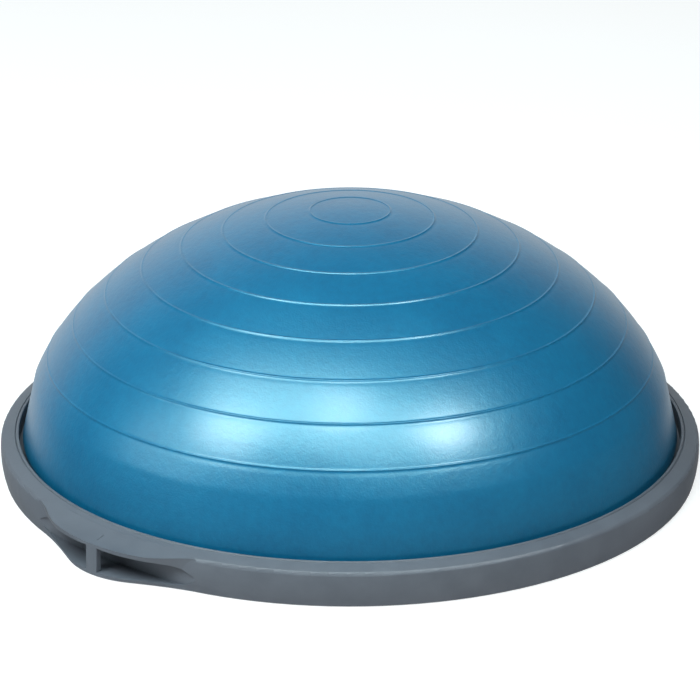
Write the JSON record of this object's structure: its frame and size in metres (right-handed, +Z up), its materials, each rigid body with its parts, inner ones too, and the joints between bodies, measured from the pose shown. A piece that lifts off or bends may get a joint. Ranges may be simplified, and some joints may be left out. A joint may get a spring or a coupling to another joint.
{
  "type": "balance dome trainer",
  "caption": "Round exercise platform with an air-filled ribbed half ball clamped under a grey rim with finger-pocket hand holds.",
  "frame": {"origin": "on the floor under the middle of the dome, at the bottom of the grip pads", "axes": "+Z up through the dome's apex, X through the middles of the two hand holds"},
  "size_m": [0.654, 0.6209, 0.2358],
  "materials": {
    "dome_pvc": "satin pearl blue moulded PVC",
    "membrane_pvc": "matte blue PVC sheet",
    "valve_rubber": "soft moulded PVC bung",
    "plug_plastic": "satin white plastic",
    "rim_plastic": "fine-grained moulded grey polypropylene",
    "base_plastic": "fine-grained moulded grey polypropylene",
    "screw_steel": "zinc-plated steel",
    "pad_rubber": "matte black rubber"
  },
  "bodies": {
    "trainer": {"dome_skin": "dome_pvc", "floor_membrane": "membrane_pvc", "valve_seat": "valve_rubber", "rim_ring": "rim_plastic", "base_plate": "base_plastic", "rim_screws": "screw_steel", "grip_pad_1": "pad_rubber", "grip_pad_2": "pad_rubber", "grip_pad_3": "pad_rubber", "grip_pad_4": "pad_rubber", "grip_pad_5": "pad_rubber", "grip_pad_6": "pad_rubber", "grip_pad_7": "pad_rubber", "grip_pad_8": "pad_rubber", "grip_pad_9": "pad_rubber", "grip_pad_10": "pad_rubber", "grip_pad_11": "pad_rubber", "grip_pad_12": "pad_rubber"},
    "plug": {"valve_plug": "plug_plastic"}
  },
  "joints": [
    {"name": "plug_pull", "type": "slide", "parent": "trainer", "child": "plug", "axis": [0, 0, -1], "range_m": [0, 0.016]}
  ]
}
